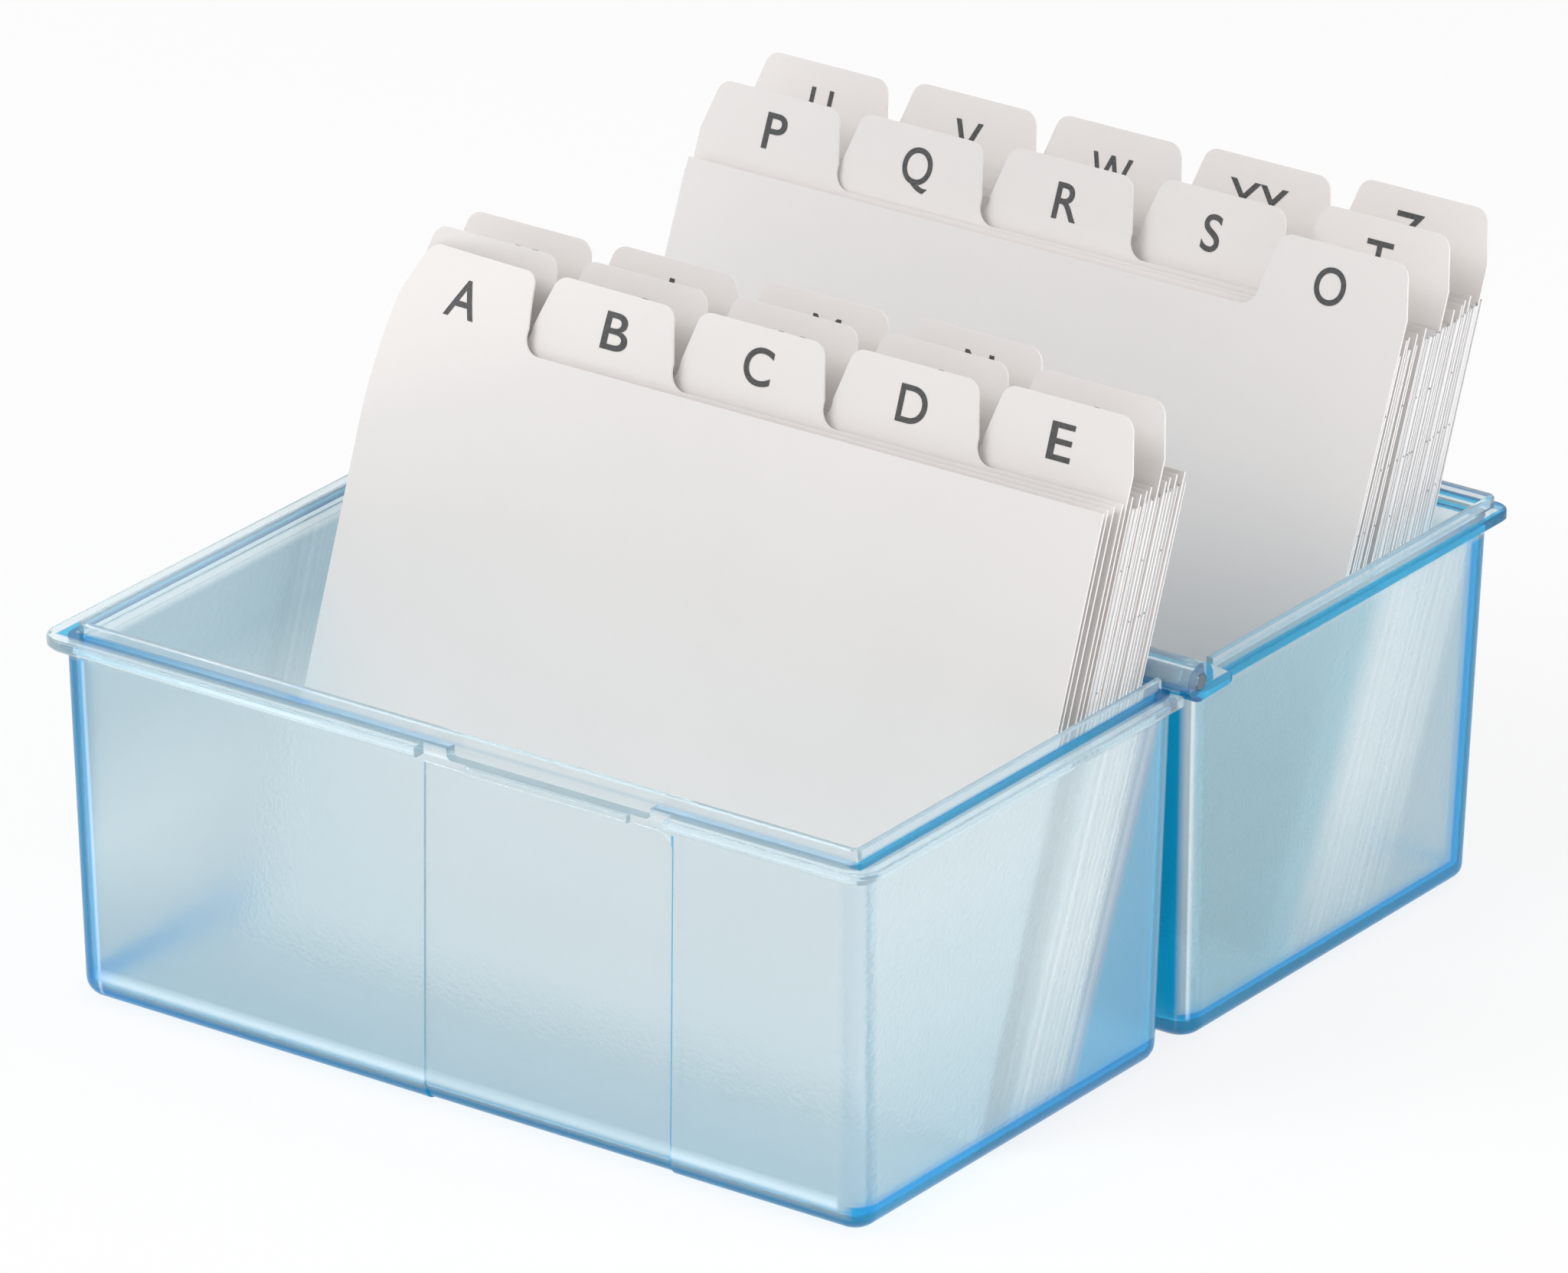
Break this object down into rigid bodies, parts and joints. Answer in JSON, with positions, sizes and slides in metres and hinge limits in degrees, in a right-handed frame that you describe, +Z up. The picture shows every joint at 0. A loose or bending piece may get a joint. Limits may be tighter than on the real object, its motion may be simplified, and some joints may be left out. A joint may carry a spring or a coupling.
{
  "type": "index card box",
  "caption": "Hinged two-tray index card box in clear tinted plastic, shown open flat with leaning lettered tab guides and record cards in both trays.",
  "frame": {"origin": "middle of the overall width and depth, on the plane the two trays stand on", "axes": "+X along the card width to the viewer's right, +Y from the front tray to the rear tray, +Z up"},
  "size_m": [0.1704, 0.1988, 0.1131],
  "materials": {
    "tinted_polystyrene": "clear blue-tinted moulded polystyrene, fine grain on the walls, smooth rims",
    "pin_polystyrene": "solid blue moulded pin",
    "guide_board": "off-white printed guide board, matt",
    "record_card": "off-white record card, matt"
  },
  "bodies": {
    "front_half": {"cards_f": "record_card", "cards_g": "record_card", "cards_h": "record_card", "cards_i": "record_card", "cards_j": "record_card", "cards_k": "record_card", "cards_l": "record_card", "cards_m": "record_card", "cards_n": "record_card", "front_tray": "tinted_polystyrene", "guide_a": "guide_board", "guide_b": "guide_board", "guide_c": "guide_board", "guide_d": "guide_board", "guide_e": "guide_board", "guide_f": "guide_board", "guide_g": "guide_board", "guide_h": "guide_board", "guide_i": "guide_board", "guide_j": "guide_board", "guide_k": "guide_board", "guide_l": "guide_board", "guide_m": "guide_board", "guide_n": "guide_board", "hinge_pin_left": "pin_polystyrene", "hinge_pin_right": "pin_polystyrene"},
    "rear_half": {"cards_o": "record_card", "cards_p": "record_card", "cards_q": "record_card", "cards_r": "record_card", "cards_s": "record_card", "cards_t": "record_card", "cards_u": "record_card", "cards_v": "record_card", "cards_w": "record_card", "cards_xy": "record_card", "cards_z": "record_card", "guide_o": "guide_board", "guide_p": "guide_board", "guide_q": "guide_board", "guide_r": "guide_board", "guide_s": "guide_board", "guide_t": "guide_board", "guide_u": "guide_board", "guide_v": "guide_board", "guide_w": "guide_board", "guide_xy": "guide_board", "guide_z": "guide_board", "rear_tray": "tinted_polystyrene"}
  },
  "joints": [
    {"name": "fold", "type": "hinge", "parent": "front_half", "child": "rear_half", "pos_m": [0, -0.00614, 0.067], "axis": [1, 0, 0], "range_deg": [0, 145]}
  ]
}
